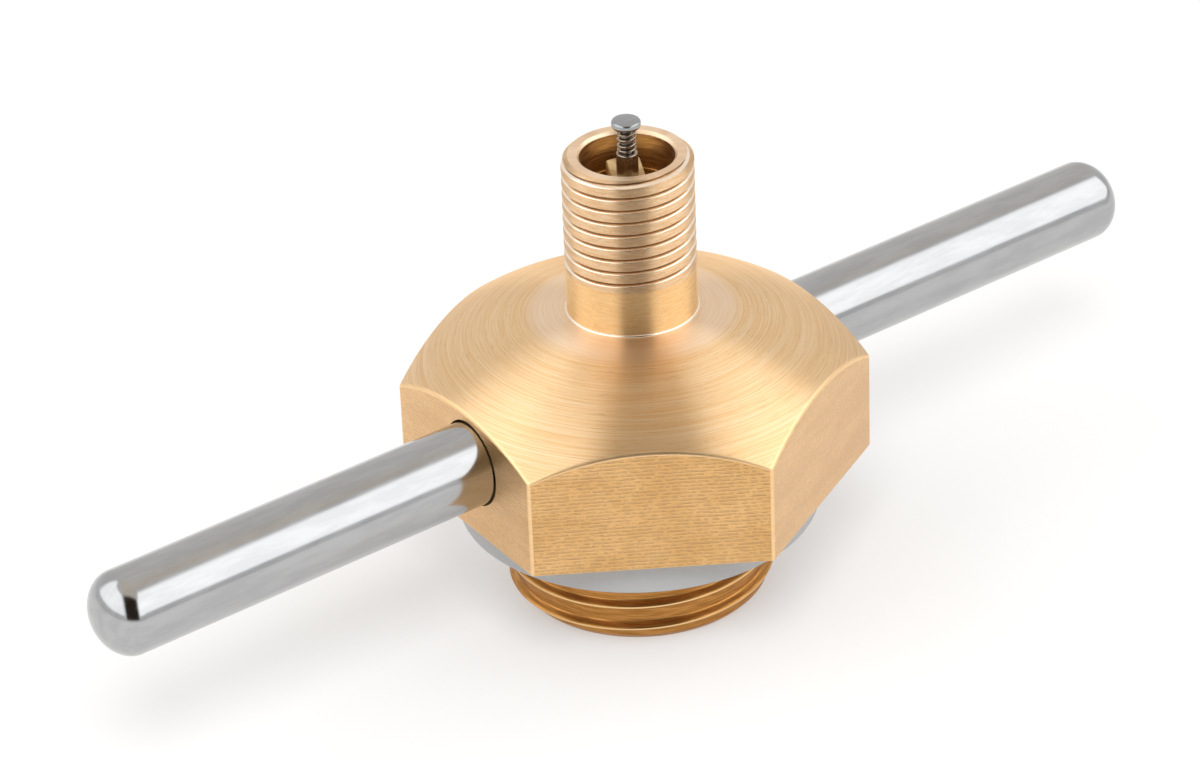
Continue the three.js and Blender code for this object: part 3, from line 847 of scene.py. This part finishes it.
def make_washer(material):
    corners = [
        [WASHER_HOLE_RADIUS, washer_low[2], 0.12],
        [WASHER_RADIUS, washer_low[2], 0.15],
        [WASHER_RADIUS, washer_high[2], 0.15],
        [WASHER_HOLE_RADIUS, washer_high[2], 0.12],
    ]
    vertices, faces = lathe(rounded(corners, 5), 180)
    piece = make_piece("grey_washer", vertices, faces, "cap", [material])
    sharpen(piece)
    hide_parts("sealing_washer")
    return piece


def make_pin(material):
    low, high = pin_low[2], PIN_TOP
    thick = 0.5
    shank = 0.36
    corners = [
        [0, low, 0],
        [0.56, low, 0.1],
        [0.56, low + 0.3, 0.05],
        [shank, low + 0.3, 0.02],
        [shank, high - thick, 0.02],
        [PIN_HEAD_RADIUS, high - thick, 0.2],
        [PIN_HEAD_RADIUS, high - 0.04, 0.2],
        [0.3, high, 0.1],
        [0, high, 0],
    ]
    vertices, faces = lathe(rounded(corners, 5), 64)
    piece = make_piece("valve_pin", vertices, faces, "pin", [material])
    sharpen(piece, 60)
    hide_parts("core_pin")
    return piece


def make_plug(material):
    """The core's screwed plug: its helical thread, the top with the pin's hole, and the socket where the
    barrel's head swivels.
    """
    pitch = PLUG_PITCH
    bottom, top = plug_low[2], PLUG_TOP
    outer = plug_high[0]
    angles = np.arange(96) * 2 * np.pi / 96
    rows = []
    socket, socket_top, lip = 1.35, 23.67, 1.12  # where the barrel's head swivels
    flat = np.zeros_like(angles)
    for height in (bottom + 0.2, bottom):
        rows.append((flat + lip, flat + height))
    for height in np.arange(bottom, top, 0.03):
        phase = helix_phase(height, angles, pitch, 0.0)
        off = np.minimum(phase, 1 - phase) * 2
        radius = outer - 0.36 * (1 - np.clip(off * 1.15, 0, 1))
        ends = np.minimum(height - bottom, top - height)
        rows.append((np.minimum(radius, outer - 0.35 + ends), flat + height))
    for radius, height in (
        (1.9, top),
        (PIN_HOLE_RADIUS, top),
        (PIN_HOLE_RADIUS, socket_top),
        (socket, socket_top),
        (socket, bottom + 0.28),
        (lip, bottom + 0.28),
    ):
        rows.append((flat + radius, flat + height))
    grid = np.array([[r * np.cos(angles), r * np.sin(angles), z] for r, z in rows])
    vertices = grid.transpose(0, 2, 1).reshape(-1, 3)
    faces = grid_faces(len(rows), len(angles), True).tolist()
    piece = make_piece("screwed_plug", vertices, faces, "plug", [material])
    sharpen(piece, 50)
    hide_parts("core_plug")
    return piece


def make_tongue(material):
    """The flat tongue that a core tool grips, with the spring collar standing through it."""
    turn = math.radians(60.6)
    half_width, reach = 1.0, 2.15
    low, high = 25.38, 27.0
    outline = []
    ends = math.asin(half_width / reach)
    for a in np.linspace(-ends, ends, 9):
        outline.append((reach * math.cos(a), reach * math.sin(a)))
    for a in np.linspace(math.pi - ends, math.pi + ends, 9):
        outline.append((reach * math.cos(a), reach * math.sin(a)))
    outline = np.array(outline)
    spin = np.array([[math.cos(turn), -math.sin(turn)], [math.sin(turn), math.cos(turn)]])
    levels = [(0.0, low), (0.0, high - 0.15), (0.05, high - 0.04), (0.14, high)]
    count = len(outline)
    vertices = []
    for inset, height in levels:
        size = np.linalg.norm(outline, axis=1, keepdims=True)
        for x, y in (outline * (1 - inset / size)) @ spin.T:
            vertices.append([x, y, height])
    faces = grid_faces(len(levels), count, False).tolist()
    faces.append(list(range(count))[::-1])
    faces.append([(len(levels) - 1) * count + i for i in range(count)])
    piece = make_piece("core_tongue", vertices, faces, "plug", [material])
    pin_way = [
        [0, low - 1],
        [PIN_HOLE_RADIUS, low - 1],
        [PIN_HOLE_RADIUS, high + 1],
        [0, high + 1],
    ]
    cut_away(piece, *lathe(pin_way, 48))
    sharpen(piece, 35)
    return piece


def make_collar(material):
    corners = [
        [PIN_HOLE_RADIUS, 26.0, 0],
        [0.66, 26.0, 0],
        [0.62, COLLAR_TOP, 0.08],
        [PIN_HOLE_RADIUS, COLLAR_TOP, 0.04],
    ]
    vertices, faces = lathe(rounded(corners, 4), 48)
    piece = make_piece("spring_collar", vertices, faces, "plug", [material])
    sharpen(piece)
    return piece


def make_spring(material):
    """The coil between the collar and the pin's head. Its wire is a swept circle with closed ends."""
    turns, coil, wire = 4.5, 0.5, 0.07
    low, high = spring_low[2] + wire, spring_high[2] - wire
    steps, sides = 170, 12
    share = np.linspace(0, 1, steps + 1)
    # the end turns lie flatter than the middle ones
    rise = share - 0.06 * np.sin(share * 2 * np.pi)
    angle = share * turns * 2 * np.pi
    centres = np.stack([coil * np.cos(angle), coil * np.sin(angle), low + (high - low) * rise], axis=-1)
    vertices = []
    for k in range(steps + 1):
        ahead = centres[min(k + 1, steps)] - centres[max(k - 1, 0)]
        ahead /= np.linalg.norm(ahead)
        out = np.array([math.cos(angle[k]), math.sin(angle[k]), 0])
        up = np.cross(ahead, out)
        for s in range(sides):
            a = 2 * math.pi * s / sides
            vertices.append(centres[k] + wire * (math.cos(a) * out + math.sin(a) * up))
    faces = [face[::-1] for face in grid_faces(steps + 1, sides, False).tolist()]
    faces.append(list(range(sides)))
    faces.append([steps * sides + s for s in range(sides)][::-1])
    piece = make_piece("pin_spring", vertices, faces, "plug", [material])
    sharpen(piece, 60)
    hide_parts("core_spring")
    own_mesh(piece)
    return piece


def finish_cad_node(node, material):
    """A CAD node that stays, hidden inside the stem, with its own finish."""
    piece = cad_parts[node]
    piece.data.materials.clear()
    piece.data.materials.append(material)
    piece.data.polygons.foreach_set("use_smooth", [True] * len(piece.data.polygons))
    piece.data.set_sharp_from_angle(angle=math.radians(35))


# ---- Assembly ------------------------------------------------------------------------------------

bpy.context.scene.view_settings.view_transform = "Standard"
add_camera()
add_world()
add_floor()
add_shadow_light()

make_cap_body()
rod_steel = steel("rod_steel", (0.455, 0.458, 0.463, 1), 0.13)
make_rod("left_rod", "left_handle_rod", -1, rod_steel)
make_rod("right_rod", "right_handle_rod", 1, rod_steel)
make_washer(rubber("washer_rubber", (0.415, 0.42, 0.425, 1), 0.7))
make_pin(steel("pin_steel", (0.38, 0.39, 0.40, 1), 0.24))
core_brass = threaded_brass("core_brass", (0.74, 0.56, 0.33, 1), (0.6, 0.43, 0.22, 1))
make_plug(core_brass)
make_tongue(core_brass)
make_collar(steel("collar_steel", (0.42, 0.34, 0.26, 1), 0.25))
make_spring(steel("spring_wire", (0.38, 0.30, 0.22, 1), 0.18))
seal_rubber = rubber("seal_rubber", (0.03, 0.03, 0.035, 1), 0.6)
for node in ("barrel_seal", "seat_seal"):
    finish_cad_node(node, seal_rubber)
for node in ("core_barrel", "seal_cup"):
    finish_cad_node(node, core_brass)
